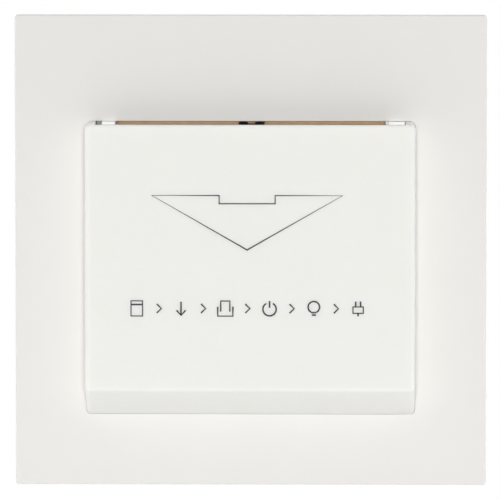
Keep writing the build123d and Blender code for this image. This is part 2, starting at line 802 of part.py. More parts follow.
with BuildPart() as relay_bobbin:
    for y in (bobbin_y[0], bobbin_y[1] - 1.0):
        block((coil_x - 7.4, coil_x + 7.4), (y, y + 1.0), (coil_z - 7.4, coil_z + 7.4))
    rod(coil_x, coil_z, core_radius + 1.0, bobbin_y)
    rod(coil_x, coil_z, core_radius, (bobbin_y[0], bobbin_y[1]), mode=Mode.SUBTRACT)
save(relay_bobbin, "relay_bobbin")

with BuildPart() as relay_winding:
    rod(coil_x, coil_z, 6.8, (bobbin_y[0] + 1.0, bobbin_y[1] - 1.0))
    rod(coil_x, coil_z, core_radius + 1.0, (bobbin_y[0] + 1.0, bobbin_y[1] - 1.0), mode=Mode.SUBTRACT)
save(relay_winding, "relay_winding")

# The armature rocks on the yoke's round end. Its leaf carries the moving contact.
hinge_clearance = 0.08
armature_x = (yoke_x - 0.6, coil_x + 5.0)
with BuildPart() as relay_armature:
    with BuildSketch(wall_plane(-armature_back)):
        with Locations((sum(armature_x) / 2, coil_z)):
            RectangleRounded(armature_x[1] - armature_x[0], 11.0, 1.0)
    extrude(amount=armature_back - armature_front)
    with Locations((rock_x, pole_y, coil_z)):
        Cylinder(yoke_thick / 2 + hinge_clearance, 12, mode=Mode.SUBTRACT)
save(relay_armature, "relay_armature")

leaf_thick = 0.3
contact_radius = 1.6
contact_height = 0.8
with BuildPart() as relay_contact_leaf:
    block(
        (coil_x - 4.0, contact_x + contact_radius),
        (armature_front - leaf_thick, armature_front),
        (coil_z - 2.5, coil_z + 2.5),
    )
    rod(contact_x, coil_z, contact_radius, (armature_front, armature_front + contact_height))
    rod(coil_x - 2.0, coil_z, 0.8, (armature_front - leaf_thick - 0.3, armature_front - leaf_thick))
save(relay_contact_leaf, "relay_contact_leaf")

# The fixed contact stands on a bent blade beside the coil. Its gap is what the leaf covers.
leaf_travel = math.tan(math.radians(armature_angle)) * (contact_x + contact_radius - rock_x)
fixed_front = armature_front + contact_height + leaf_travel + 0.05
blade_front = fixed_front + contact_height
blade_back = blade_front + 0.8
blade_z = (coil_z - 2.0, coil_z + 2.0)
with BuildPart() as relay_fixed_contact:
    rod(contact_x, coil_z, contact_radius, (fixed_front, blade_front))
    block((contact_x - 2.0, contact_x + 2.4), (blade_front, blade_back), blade_z)
    block((contact_x + 1.6, contact_x + 2.4), (blade_back, relay_floor), blade_z)
save(relay_fixed_contact, "relay_fixed_contact")


# The rest of the power board: suppressor, supply and driver.
with BuildPart() as film_capacitor:
    block((14.3, 22.5), (9.5, -power_front - 0.4), (0.0, 18.0))
    chamfer(film_capacitor.edges().filter_by(Axis.Y), 0.4)
    for x, z in ((15.3, 1.0), (21.5, 1.0), (15.3, 17.0), (21.5, 17.0)):
        block((x - 0.6, x + 0.6), (-power_front - 0.4, -power_front), (z - 0.6, z + 0.6))
save(film_capacitor, "film_capacitor")

small_part_z = -7.9
can_x = -13.0
can_radius = 3.15
with BuildPart() as electrolytic_capacitor:
    with BuildSketch(Plane.XY.offset(small_part_z)):
        with BuildLine():
            Polyline(
                (can_x, 12.0),
                (can_x + can_radius - 0.5, 12.0),
                (can_x + can_radius, 12.5),
                (can_x + can_radius, -power_front),
                (can_x, -power_front),
                close=True,
            )
        make_face()
    revolve(axis=Axis((can_x, 0, small_part_z), (0, 1, 0)))
save(electrolytic_capacitor, "electrolytic_capacitor")

with BuildPart() as varistor:
    with Locations((-3.2, 18.2, small_part_z)):
        Cylinder(4.4, 3.6)
    for x in (-5.6, -0.8):
        block((x - 0.3, x + 0.3), (20.0, -power_front), (small_part_z - 0.3, small_part_z + 0.3))
save(varistor, "varistor")

with BuildPart() as bridge_rectifier:
    block((1.5, 9.3), (20.2, -power_front - 0.5), (small_part_z - 3.2, small_part_z + 3.2))
    chamfer(bridge_rectifier.edges().filter_by(Axis.Y), 0.3)
    for x in (2.9, 7.9):
        for z in (small_part_z - 2.5, small_part_z + 2.5):
            block((x - 0.3, x + 0.3), (-power_front - 0.5, -power_front), (z - 0.5, z + 0.5))
save(bridge_rectifier, "bridge_rectifier")

with BuildPart() as dropper_resistor:
    with Locations((14.2, 21.4, small_part_z)):
        Cylinder(1.6, 5.6, rotation=(0, 90, 0))
    for x in (10.6, 17.8):
        block((x - 0.3, x + 0.3), (21.1, -power_front), (small_part_z - 0.3, small_part_z + 0.3))
    block((10.6, 17.8), (21.1, 21.7), (small_part_z - 0.3, small_part_z + 0.3))
save(dropper_resistor, "dropper_resistor")

with BuildPart() as driver_transistor:
    with BuildSketch(wall_plane(-18.0)):
        with Locations((18.2, -2.8)):
            Circle(2.2)
            with Locations((0, -2.2)):
                Rectangle(4.4, 1.6, mode=Mode.SUBTRACT)
    extrude(amount=-4.6)
    for x in (16.9, 18.2, 19.5):
        block((x - 0.22, x + 0.22), (22.6, -power_front), (-2.8, -2.4))
save(driver_transistor, "driver_transistor")
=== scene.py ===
# %% [markdown]
# # A hotel key card switch
#
# This is a square wall switch with a raised pocket. A room's key card goes into the pocket from
# above, swings a hidden lever back and so brings the room's supply on. The lesson dresses the
# engineer's solids for a picture. Each step says what the piece or finish is on the real object,
# how it could be made, and why it is made this way here.
#
# The solids come first, because everything else is fitted to them. They are in metres, with +X to
# the right, +Y into the wall and +Z up.

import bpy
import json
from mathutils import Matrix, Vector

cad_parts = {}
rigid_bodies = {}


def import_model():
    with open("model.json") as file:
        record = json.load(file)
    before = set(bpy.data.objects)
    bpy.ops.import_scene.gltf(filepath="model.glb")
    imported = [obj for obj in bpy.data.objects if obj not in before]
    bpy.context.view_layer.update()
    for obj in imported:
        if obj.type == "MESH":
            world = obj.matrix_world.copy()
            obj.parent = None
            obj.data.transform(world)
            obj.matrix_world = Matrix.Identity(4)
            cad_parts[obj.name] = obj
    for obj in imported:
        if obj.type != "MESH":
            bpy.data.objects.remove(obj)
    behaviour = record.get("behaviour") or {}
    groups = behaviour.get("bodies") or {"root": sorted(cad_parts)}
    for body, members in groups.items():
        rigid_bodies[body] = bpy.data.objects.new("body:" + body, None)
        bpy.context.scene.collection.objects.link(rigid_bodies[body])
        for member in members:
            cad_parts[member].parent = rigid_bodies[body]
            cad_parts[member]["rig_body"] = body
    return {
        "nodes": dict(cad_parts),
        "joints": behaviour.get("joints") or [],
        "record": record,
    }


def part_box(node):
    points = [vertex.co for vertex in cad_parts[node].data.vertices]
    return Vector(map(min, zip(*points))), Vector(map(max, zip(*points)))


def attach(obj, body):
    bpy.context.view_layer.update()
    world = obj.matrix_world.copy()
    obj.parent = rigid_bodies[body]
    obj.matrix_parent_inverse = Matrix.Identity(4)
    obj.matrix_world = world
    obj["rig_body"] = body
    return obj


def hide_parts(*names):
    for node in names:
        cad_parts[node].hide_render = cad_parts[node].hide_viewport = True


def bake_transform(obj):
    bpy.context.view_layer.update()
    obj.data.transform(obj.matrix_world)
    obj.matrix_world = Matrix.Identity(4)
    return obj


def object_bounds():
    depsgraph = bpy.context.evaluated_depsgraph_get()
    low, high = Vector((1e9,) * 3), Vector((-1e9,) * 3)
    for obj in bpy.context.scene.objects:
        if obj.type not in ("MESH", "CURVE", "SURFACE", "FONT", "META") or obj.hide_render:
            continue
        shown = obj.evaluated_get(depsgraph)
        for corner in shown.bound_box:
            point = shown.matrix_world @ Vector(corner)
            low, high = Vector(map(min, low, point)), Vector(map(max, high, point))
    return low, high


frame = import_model()
cad_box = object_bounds()

# %% [markdown]
# The rest of the script uses four of Blender's own modules. Sizes are written in millimetres, as a
# maker would say them, and `MM` turns them into metres.

# %% Modules and units
import json
import math

import bmesh
import bpy
from mathutils import Matrix, Vector

MM = 0.001
scene = bpy.context.scene
plate_low, plate_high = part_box("front_plate")
cover_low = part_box("pocket_cover")[0]
print("plate", round((plate_high.x - plate_low.x) / MM, 1), "mm square")
print("pocket stands", round((plate_low.y - cover_low.y) / MM, 1), "mm proud of the plate")

# %% [markdown]
# ## Finishes
#
# Nearly every surface here is a moulded plastic, and what tells one from another is small: a warm
# or a cool white, a finer or a coarser spark texture from the mould, a little more or less sheen.
# One material could be copied and changed by hand. A shader node group is better, because the
# same grain is then built once and each plastic only states its own values.
#
# Small helpers make a group with named sockets, wire two sockets by name, centre a noise and turn
# it into a bump.

# %% Helpers for shader groups
def new_group(name, inputs, outputs):
    """A shader node group. Inputs are (name, kind, value) and outputs are (name, kind)."""
    group = bpy.data.node_groups.new(name, "ShaderNodeTree")
    for label, kind, value in inputs:
        socket = group.interface.new_socket(label, in_out="INPUT", socket_type=kind)
        socket.default_value = value
    for label, kind in outputs:
        group.interface.new_socket(label, in_out="OUTPUT", socket_type=kind)
    return group


def add_node(tree, kind, **settings):
    """A node with its plain settings, such as an operation or a blend type."""
    node = tree.nodes.new(kind)
    for key, value in settings.items():
        setattr(node, key, value)
    return node


def wire(tree, source, output, target, socket):
    """A link from one node's output to another node's input, each by name or number."""
    tree.links.new(source.outputs[output], target.inputs[socket])


def centred(tree, noise):
    """A noise shifted down by a half, so that it swings about zero."""
    shift = add_node(tree, "ShaderNodeMath", operation="SUBTRACT")
    shift.inputs[1].default_value = 0.5
    wire(tree, noise, "Fac", shift, 0)
    return shift


def add_bump(tree, height, distance):
    """A bump that reads another node's Fac output and is this many metres deep."""
    bump = add_node(tree, "ShaderNodeBump")
    bump.inputs["Distance"].default_value = distance
    wire(tree, height, "Fac", bump, "Height")
    return bump


FLOAT = "NodeSocketFloat"
COLOUR = "NodeSocketColor"
VECTOR = "NodeSocketVector"
print("helpers ready")

# %% [markdown]
# ### Moulded grain
#
# A mould for such a switch is spark eroded, so the plastic comes out with a fine matt grain, about
# a tenth of a millimetre across, over a very faint cloudiness of the colour itself. Two noises at
# those two sizes do both: the fine one drives a bump and the roughness, the coarse one the colour.
# The group hands out a colour, a roughness and a normal, and no shader, so that the material stays
# readable outside it.

# %% Build the moulded grain group
def build_moulded_grain():
    """The grain, the cloudiness and the sheen of a spark eroded mould."""
    group = new_group(
        "moulded_grain",
        [
            ("Colour", COLOUR, (0.8, 0.8, 0.8, 1.0)),
            ("Cloudiness", FLOAT, 0.02),
            ("Roughness", FLOAT, 0.5),
            ("Spread", FLOAT, 0.1),
            ("Grain per metre", FLOAT, 7000.0),
            ("Relief", FLOAT, 0.1),
        ],
        [("Colour", COLOUR), ("Roughness", FLOAT), ("Normal", VECTOR)],
    )
    given = add_node(group, "NodeGroupInput")
    result = add_node(group, "NodeGroupOutput")
    place = add_node(group, "ShaderNodeTexCoord")
    grain = add_node(group, "ShaderNodeTexNoise")
    grain.inputs["Detail"].default_value = 3.0
    cloud = add_node(group, "ShaderNodeTexNoise")
    cloud.inputs["Scale"].default_value = 90.0
    cloud.inputs["Detail"].default_value = 4.0
    wire(group, place, "Object", grain, "Vector")
    wire(group, place, "Object", cloud, "Vector")
    wire(group, given, "Grain per metre", grain, "Scale")

    lift = add_node(group, "ShaderNodeMath", operation="MULTIPLY_ADD")
    wire(group, centred(group, cloud), 0, lift, 0)
    wire(group, given, "Cloudiness", lift, 1)
    lift.inputs[2].default_value = 1.0
    tint = add_node(group, "ShaderNodeVectorMath", operation="SCALE")
    wire(group, given, "Colour", tint, 0)
    wire(group, lift, 0, tint, "Scale")

    sheen = add_node(group, "ShaderNodeMath", operation="MULTIPLY_ADD", use_clamp=True)
    wire(group, centred(group, grain), 0, sheen, 0)
    wire(group, given, "Spread", sheen, 1)
    wire(group, given, "Roughness", sheen, 2)

    bump = add_bump(group, grain, 0.05 * MM)
    wire(group, given, "Relief", bump, "Strength")

    wire(group, tint, 0, result, "Colour")
    wire(group, sheen, 0, result, "Roughness")
    wire(group, bump, "Normal", result, "Normal")
    return group


moulded_grain = build_moulded_grain()
print("group", moulded_grain.name, "has", len(moulded_grain.nodes), "nodes")

# %% [markdown]
# Colours are written as a screen shows them, from 0 to 255, because that is how a colour is read
# off a photograph. Blender's shaders count light, so each channel is changed into that scale.
#
# `new_material` makes an empty material with its Principled shader, and `moulded` is the whole
# recipe for a plastic: the group for what changes over the surface, and plain numbers for the rest.

# %% Recipe for a moulded plastic
def light_value(channel):
    """One screen channel, 0 to 255, as a share of the light."""
    share = channel / 255
    if share <= 0.04045:
        return share / 12.92
    return ((share + 0.055) / 1.055) ** 2.4


def colour(red, green, blue):
    """A screen's colour in the form that a socket takes."""
    return (light_value(red), light_value(green), light_value(blue), 1.0)


def new_material(name):
    """An empty material, its tree and its Principled shader."""
    material = bpy.data.materials.new(name)
    material.use_nodes = True
    tree = material.node_tree
    tree.nodes.clear()
    shader = add_node(tree, "ShaderNodeBsdfPrincipled")
    output = add_node(tree, "ShaderNodeOutputMaterial")
    wire(tree, shader, "BSDF", output, "Surface")
    return material, tree, shader


def place_group(tree, group, values):
    """Put a group in a material with this material's own values."""
    node = add_node(tree, "ShaderNodeGroup")
    node.node_tree = group
    for label, value in values.items():
        node.inputs[label].default_value = value
    return node


def moulded(name, shade, roughness=0.5, cloudiness=0.02, grain=7000.0, relief=0.12):
    """A moulded plastic with its own colour, gloss and grain."""
    material, tree, shader = new_material(name)
    values = {"Colour": shade, "Cloudiness": cloudiness, "Roughness": roughness}
    values.update({"Grain per metre": grain, "Relief": relief})
    surface = place_group(tree, moulded_grain, values)
    wire(tree, surface, "Colour", shader, "Base Color")
    wire(tree, surface, "Roughness", shader, "Roughness")
    wire(tree, surface, "Normal", shader, "Normal")
    material.diffuse_color = shade
    return material


finish = {}
finish["ivory_plastic"] = moulded(
    "ivory_plastic", colour(229, 227, 223), roughness=0.62, cloudiness=0.03, relief=0.16
)
finish["milky_plastic"] = moulded(
    "milky_plastic", colour(235, 235, 231), roughness=0.6, cloudiness=0.015, relief=0.05
)
finish["white_plastic"] = moulded(
    "white_plastic", colour(252, 252, 250), roughness=0.4, relief=0.06
)
finish["grey_plastic"] = moulded(
    "grey_plastic", colour(196, 197, 196), roughness=0.55, grain=4500.0, relief=0.2
)
finish["black_plastic"] = moulded(
    "black_plastic", colour(70, 71, 73), roughness=0.5, grain=3500.0, relief=0.3
)
print(len(finish), "outer plastics")

# %% [markdown]
# The milky cover lets light into itself before it comes back, which softens and brightens its
# edges. A large subsurface share does that. It is a plain number on the shader, as nothing about it
# changes over the surface.

# %% Give the milky cover some depth
milky_shader = finish["milky_plastic"].node_tree.nodes["Principled BSDF"]
milky_shader.inputs["Subsurface Weight"].default_value = 0.8
milky_shader.inputs["Subsurface Radius"].default_value = (1.0, 0.95, 0.85)
milky_shader.inputs["Subsurface Scale"].default_value = 1.5 * MM
print("milky cover scatters over", milky_shader.inputs["Subsurface Scale"].default_value, "m")

# %% [markdown]
# The small plastics inside use the same recipe. Their colours follow what such parts usually have:
# black nylon for the lever, a red plunger, natural bobbin, yellow film capacitor.

# %% Inner plastics
inner_plastics = {
    "black_nylon": (colour(44, 38, 42), 0.42),
    "dark_plastic": (colour(70, 56, 52), 0.45),
    "switch_plastic": (colour(48, 48, 52), 0.45),
    "plunger_plastic": (colour(190, 58, 44), 0.4),
    "component_black": (colour(46, 46, 48), 0.5),
    "header_plastic": (colour(42, 42, 44), 0.5),
    "relay_plastic": (colour(58, 60, 66), 0.38),
    "relay_base_plastic": (colour(54, 54, 58), 0.5),
    "carrier_plastic": (colour(62, 62, 64), 0.5),
    "bobbin_plastic": (colour(226, 222, 208), 0.45),
    "capacitor_box": (colour(222, 178, 64), 0.3),
    "capacitor_sleeve": (colour(44, 52, 84), 0.3),
    "blue_coating": (colour(66, 112, 176), 0.35),
    "resistor_coating": (colour(150, 184, 176), 0.55),
    "chip_ceramic": (colour(52, 50, 48), 0.6),
}
for slot_name, (shade, roughness) in inner_plastics.items():
    finish[slot_name] = moulded(slot_name, shade, roughness=roughness, grain=5000.0)
print(len(inner_plastics), "inner plastics")

# %% [markdown]
# ### Metal
#
# The screws are zinc plated, the terminals milled brass, the spring brown tempered wire. All show
# fine parallel marks from how they were drawn or cut, and a slow change of tint. A noise that is
# stretched along one axis makes the marks. The group takes the stretch as a vector, so one group
# serves a lathe turned head, a rolled sheet and a drawn wire.

# %% Build the tooled metal group
def build_tooled_metal():
    """The marks, the stains and the sheen of a drawn, rolled or turned metal."""
    group = new_group(
        "tooled_metal",
        [
            ("Colour", COLOUR, (0.6, 0.6, 0.6, 1.0)),
            ("Tarnish", COLOUR, (0.4, 0.4, 0.4, 1.0)),
            ("Roughness", FLOAT, 0.3),
            ("Stretch", VECTOR, (1.0, 1.0, 1.0)),
            ("Relief", FLOAT, 0.2),
        ],
        [("Colour", COLOUR), ("Roughness", FLOAT), ("Normal", VECTOR)],
    )
    given = add_node(group, "NodeGroupInput")
    result = add_node(group, "NodeGroupOutput")
    place = add_node(group, "ShaderNodeTexCoord")
    drawn = add_node(group, "ShaderNodeVectorMath", operation="MULTIPLY")
    wire(group, place, "Object", drawn, 0)
    wire(group, given, "Stretch", drawn, 1)
    marks = add_node(group, "ShaderNodeTexNoise")
    marks.inputs["Scale"].default_value = 4000.0
    marks.inputs["Detail"].default_value = 4.0
    wire(group, drawn, 0, marks, "Vector")
    blotch = add_node(group, "ShaderNodeTexNoise")
    blotch.inputs["Scale"].default_value = 700.0
    blotch.inputs["Detail"].default_value = 3.0
    wire(group, place, "Object", blotch, "Vector")

    stain = add_node(group, "ShaderNodeMapRange")
    stain.inputs["From Min"].default_value = 0.45
    stain.inputs["From Max"].default_value = 0.75
    wire(group, blotch, "Fac", stain, "Value")
    mix = add_node(group, "ShaderNodeMix", data_type="RGBA")
    wire(group, stain, "Result", mix, "Factor")
    wire(group, given, "Colour", mix, 6)
    wire(group, given, "Tarnish", mix, 7)

    rough = add_node(group, "ShaderNodeMath", operation="MULTIPLY_ADD", use_clamp=True)
    rough.inputs[1].default_value = 0.25
    wire(group, centred(group, marks), 0, rough, 0)
    wire(group, given, "Roughness", rough, 2)

    bump = add_bump(group, marks, 0.02 * MM)
    wire(group, given, "Relief", bump, "Strength")

    wire(group, mix, 2, result, "Colour")
    wire(group, rough, 0, result, "Roughness")
    wire(group, bump, "Normal", result, "Normal")
    return group


tooled_metal = build_tooled_metal()
print("group", tooled_metal.name, "has", len(tooled_metal.nodes), "nodes")

# %% Recipes for the metals
ALONG_X = (0.06, 1.0, 1.0)
ALONG_Y = (1.0, 0.06, 1.0)
ALONG_Z = (1.0, 1.0, 0.06)


def metal(name, shade, tarnish, roughness, stretch):
    """A bare or plated metal with marks along one axis."""
    material, tree, shader = new_material(name)
    values = {"Colour": shade, "Tarnish": tarnish, "Roughness": roughness, "Stretch": stretch}
    surface = place_group(tree, tooled_metal, values)
    wire(tree, surface, "Colour", shader, "Base Color")
    wire(tree, surface, "Roughness", shader, "Roughness")
    wire(tree, surface, "Normal", shader, "Normal")
    shader.inputs["Metallic"].default_value = 1.0
    material.diffuse_color = shade
    return material


metals = {
    "zinc_steel": (colour(206, 208, 206), colour(172, 170, 158), 0.32, ALONG_X),
    "bright_steel": (colour(204, 204, 204), colour(178, 176, 172), 0.22, ALONG_X),
    "spring_wire": (colour(142, 98, 64), colour(98, 66, 44), 0.38, ALONG_X),
    "brass": (colour(214, 186, 116), colour(176, 142, 84), 0.3, ALONG_Z),
    "copper_leaf": (colour(214, 150, 112), colour(172, 104, 76), 0.3, ALONG_X),
    "plated_iron": (colour(200, 200, 196), colour(164, 160, 152), 0.35, ALONG_X),
    "tinned_metal": (colour(214, 214, 212), colour(184, 184, 182), 0.3, ALONG_Y),
}
for slot_name, (shade, tarnish, roughness, stretch) in metals.items():
    finish[slot_name] = metal(slot_name, shade, tarnish, roughness, stretch)
print(len(metals), "metals")

# %% [markdown]
# ### Paper laminate
#
# The two circuit boards are the cheap tan kind: paper soaked in resin and pressed in layers. Its
# face is smooth with a faint speckle of fibres, and its sawn edge shows the layers as fine lines.
# The strip that shows in the card slot is such an edge, so the lines matter. They come from the
# depth coordinate alone: over the board's thickness they repeat, and on its flat face that
# coordinate doesn't change, so no line shows there.

# %% Material for the boards
def laminate(name):
    """Tan pressed paper, with fibres on its faces and layers on its edge."""
    material, tree, shader = new_material(name)
    place = add_node(tree, "ShaderNodeTexCoord")
    fibre_run = add_node(tree, "ShaderNodeMapping")
    fibre_run.inputs["Scale"].default_value = (600.0, 3000.0, 3000.0)
    wire(tree, place, "Object", fibre_run, "Vector")
    fibre = add_node(tree, "ShaderNodeTexNoise")
    fibre.inputs["Scale"].default_value = 1.0
    fibre.inputs["Detail"].default_value = 5.0
    wire(tree, fibre_run, "Vector", fibre, "Vector")
    layers = add_node(tree, "ShaderNodeTexWave", bands_direction="Y")
    layers.inputs["Scale"].default_value = 950.0
    layers.inputs["Distortion"].default_value = 0.6
    layers.inputs["Detail"].default_value = 2.0
    wire(tree, place, "Object", layers, "Vector")

    tan = add_node(tree, "ShaderNodeValToRGB")
    tan.color_ramp.elements[0].position = 0.25
    tan.color_ramp.elements[0].color = colour(200, 144, 78)
    tan.color_ramp.elements[1].position = 0.75
    tan.color_ramp.elements[1].color = colour(232, 180, 106)
    wire(tree, fibre, "Fac", tan, "Fac")
    strata = add_node(tree, "ShaderNodeMix", data_type="RGBA", blend_type="MULTIPLY")
    strata.inputs["Factor"].default_value = 0.35
    wire(tree, tan, "Color", strata, 6)
    wire(tree, layers, "Color", strata, 7)
    wire(tree, strata, 2, shader, "Base Color")

    bump = add_bump(tree, fibre, 0.03 * MM)
    bump.inputs["Strength"].default_value = 0.15
    wire(tree, bump, "Normal", shader, "Normal")
    shader.inputs["Roughness"].default_value = 0.45
    return material


finish["tan_laminate"] = laminate("tan_laminate")
print("boards are", finish["tan_laminate"].name)

# %% [markdown]
# ### Wound copper and clear plastic
#
# The relay's coil is a few hundred turns of enamelled wire. Modelling them would cost far more
# than the closed relay ever shows, so a wave along the coil's axis draws the turns in the colour
# and in the bump. The two lamps are clear epoxy, which is a transmission material with a slight
# tint.

# %% Materials for the coil and the lamps
def winding(name):
    """Enamelled copper wire in close turns along Y."""
    material, tree, shader = new_material(name)
    place = add_node(tree, "ShaderNodeTexCoord")
    turns = add_node(tree, "ShaderNodeTexWave", bands_direction="Y")
    turns.inputs["Scale"].default_value = 1600.0
    turns.inputs["Distortion"].default_value = 0.8
    wire(tree, place, "Object", turns, "Vector")
    enamel = add_node(tree, "ShaderNodeValToRGB")
    enamel.color_ramp.elements[0].color = colour(112, 54, 34)
    enamel.color_ramp.elements[1].color = colour(206, 122, 78)
    wire(tree, turns, "Fac", enamel, "Fac")
    wire(tree, enamel, "Color", shader, "Base Color")
    bump = add_bump(tree, turns, 0.05 * MM)
    bump.inputs["Strength"].default_value = 0.6
    wire(tree, bump, "Normal", shader, "Normal")
    shader.inputs["Metallic"].default_value = 0.8
    shader.inputs["Roughness"].default_value = 0.35
    return material


def clear_epoxy(name):
    """The clear, faintly hazy body of a small lamp."""
    material, tree, shader = new_material(name)
    place = add_node(tree, "ShaderNodeTexCoord")
    haze = add_node(tree, "ShaderNodeTexNoise")
    haze.inputs["Scale"].default_value = 900.0
    wire(tree, place, "Object", haze, "Vector")
    tint = add_node(tree, "ShaderNodeValToRGB")
    tint.color_ramp.elements[0].color = colour(214, 226, 222)
    tint.color_ramp.elements[1].color = colour(238, 244, 240)
    wire(tree, haze, "Fac", tint, "Fac")
    wire(tree, tint, "Color", shader, "Base Color")
    shader.inputs["Roughness"].default_value = 0.12
    shader.inputs["IOR"].default_value = 1.5
    shader.inputs["Transmission Weight"].default_value = 0.85
    return material


finish["copper_winding"] = winding("copper_winding")
finish["clear_lens"] = clear_epoxy("clear_lens")
print(len(finish), "finishes in all")

# %% [markdown]
# ## Give every solid its finish
#
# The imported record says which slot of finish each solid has, so the two are matched by name. A
# solid whose shape is right keeps it, and only its material slot changes.

# %% Dress the solids
slot_of = {part["node"]: part["material_slot"] for part in frame["record"]["subparts"]}
for node_name, solid in frame["nodes"].items():
    for material_slot in solid.material_slots:
        material_slot.material = finish[slot_of[node_name]]
print("dressed", len(slot_of), "solids")

# %% [markdown]
# ## Soft edges
#
# No moulded or pressed edge is truly sharp: it has a radius of a tenth or two of a millimetre, and
# that radius is what catches a thin line of light. The engineer's solids leave such small radii
# out. Here each solid is copied, its loose triangles are welded and joined into whole faces, and a
# Bevel modifier rounds the edges that turn by more than 30 degrees.
#
# Another way would be to model each shell again. Copying keeps every hook, boss and rib where the
# engineer put it.

# %% Helpers that finish a piece
EDGE_ANGLE = math.radians(30.0)
FLAT_ANGLE = math.radians(1.0)
WELD_DISTANCE = 0.001 * MM


def add_object(name, mesh):
    """Link a new object, at the origin and unturned, to the scene."""
    piece = bpy.data.objects.new(name, mesh)
    scene.collection.objects.link(piece)
    return piece


def settle(piece):
    """Turn a piece with its modifiers into a plain mesh piece of the same name."""
    graph = bpy.context.evaluated_depsgraph_get()
    mesh = bpy.data.meshes.new_from_object(piece.evaluated_get(graph), depsgraph=graph)
    name = piece.name
    bpy.data.objects.remove(piece)
    mesh.name = name
    return add_object(name, mesh)


def smooth(piece, sharp_angle):
    """Shade a piece smoothly, but for the edges that turn by more than an angle."""
    piece.data.shade_smooth()
    piece.data.set_sharp_from_angle(angle=sharp_angle)


def welded_copy(node_name):
    """A solid's copy with its loose triangles joined into whole faces."""
    shell = bmesh.new()
    shell.from_mesh(frame["nodes"][node_name].data)
    bmesh.ops.remove_doubles(shell, verts=shell.verts, dist=WELD_DISTANCE)
    bmesh.ops.dissolve_limit(shell, angle_limit=FLAT_ANGLE, verts=shell.verts, edges=shell.edges)
    return shell


print("edges count as sharp from", round(math.degrees(EDGE_ANGLE)), "degrees")

# %% [markdown]
# A bevel goes wrong where it is wider than the little facet next to it. So each edge is looked at
# first, and it only gets its weight in the bevel if every edge that it meets is long enough. A
# Weighted Normal modifier then lets the large faces shade flat, with the turn kept to the bevel.

# %% Helper that softens a solid
ROOM_FOR_BEVEL = 1.5


def has_room(edge, width):
    """Whether an edge is sharp and meets only edges that are longer than a bevel needs."""
    if len(edge.link_faces) != 2 or edge.calc_face_angle() < EDGE_ANGLE:
        return False
    needed = ROOM_FOR_BEVEL * width
    return all(side.calc_length() > needed for end in edge.verts for side in end.link_edges)


def soften(node_name, width, shape=None):
    """Replace a solid by a copy with rounded edges, shaped first where a shape is given."""
    shell = welded_copy(node_name)
    if shape:
        shape(shell)
    weight = shell.edges.layers.float.new("bevel_weight_edge")
    for edge in shell.edges:
        edge[weight] = 1.0 if has_room(edge, width) else 0.0
    mesh = bpy.data.meshes.new(node_name + "_shell")
    shell.to_mesh(mesh)
    shell.free()
    mesh.materials.append(finish[slot_of[node_name]])
    piece = add_object(node_name + "_shell", mesh)
    bevel = piece.modifiers.new("soft edges", "BEVEL")
    bevel.width = width
    bevel.segments = 2
    bevel.limit_method = "WEIGHT"
    piece = settle(piece)
    smooth(piece, EDGE_ANGLE)
    flat_light = piece.modifiers.new("flat faces", "WEIGHTED_NORMAL")
    flat_light.keep_sharp = True
    piece = settle(piece)
    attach(piece, frame["nodes"][node_name]["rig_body"])
    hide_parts(node_name)
    return piece


# %% [markdown]
# Each piece gets a radius that suits its size: the large mouldings a bigger one, boards and sheet
# metal only what a cutter or a press leaves.

# %% Soften the solids
edge_radius = {
    "front_plate": 0.04,
    "card_guide": 0.12,
    "mounting_chassis": 0.12,
    "rear_housing": 0.18,
    "terminal_carrier": 0.12,
    "card_lever": 0.1,
    "lever_bracket": 0.1,
    "microswitch_case": 0.1,
    "relay_case": 0.1,
    "relay_base": 0.1,
    "relay_bobbin": 0.1,
    "relay_yoke": 0.05,
    "relay_core": 0.1,
    "relay_fixed_contact": 0.06,
    "link_header": 0.1,
    "film_capacitor": 0.08,
    "electrolytic_capacitor": 0.1,
    "varistor": 0.2,
    "bridge_rectifier": 0.1,
    "dropper_resistor": 0.2,
    "driver_transistor": 0.1,
    "sensor_board": 0.06,
    "power_board": 0.06,
    "led_resistors": 0.05,
}
for node_name, radius in edge_radius.items():
    soften(node_name, radius * MM)
print("softened", len(edge_radius), "solids")

# %% [markdown]
# The pocket cover also carries the print, and ink lies on top of plastic. So that the ink doesn't
# stand outside the engineer's sizes, the cover's front face is drawn back by the thickness of two
# coats before its edges are rounded.

# %% Soften the pocket cover
ink_thickness = 0.015 * MM
print_recess = 2 * ink_thickness
print_y = cover_low.y + print_recess


def draw_front_back(shell):
    """Move the face that carries the print back by the recess."""
    for point in shell.verts:
        point.co.y = max(point.co.y, print_y)


cover = soften("pocket_cover", 0.1 * MM, shape=draw_front_back)
print(cover.name, "front is at", round(print_y / MM, 3), "mm")

# %% [markdown]
# ## The print on the cover
#
# The cover is pad printed in a dark grey: a broad arrow that points down, and below it a row of
# small signs. They are hairlines, little more than a quarter of a millimetre wide. A texture could
# carry them, but lines with a real thickness stay sharp at any size and need no picture.
#
# Each line is a path, and a Geometry Nodes tree sweeps one flat stroke along every path. The
# tree's inputs are the stroke's width, its thickness and the ink.

# %% Helpers for Geometry Nodes trees
def new_tree(name, inputs):
    """A geometry tree with one geometry in and out. Inputs are (name, kind, value)."""
    tree = bpy.data.node_groups.new(name, "GeometryNodeTree")
    tree.interface.new_socket("Geometry", in_out="INPUT", socket_type="NodeSocketGeometry")
    tree.interface.new_socket("Geometry", in_out="OUTPUT", socket_type="NodeSocketGeometry")
    for label, kind, value in inputs:
        socket = tree.interface.new_socket(label, in_out="INPUT", socket_type=kind)
        if value is not None:
            socket.default_value = value
    return tree, add_node(tree, "NodeGroupInput"), add_node(tree, "NodeGroupOutput")


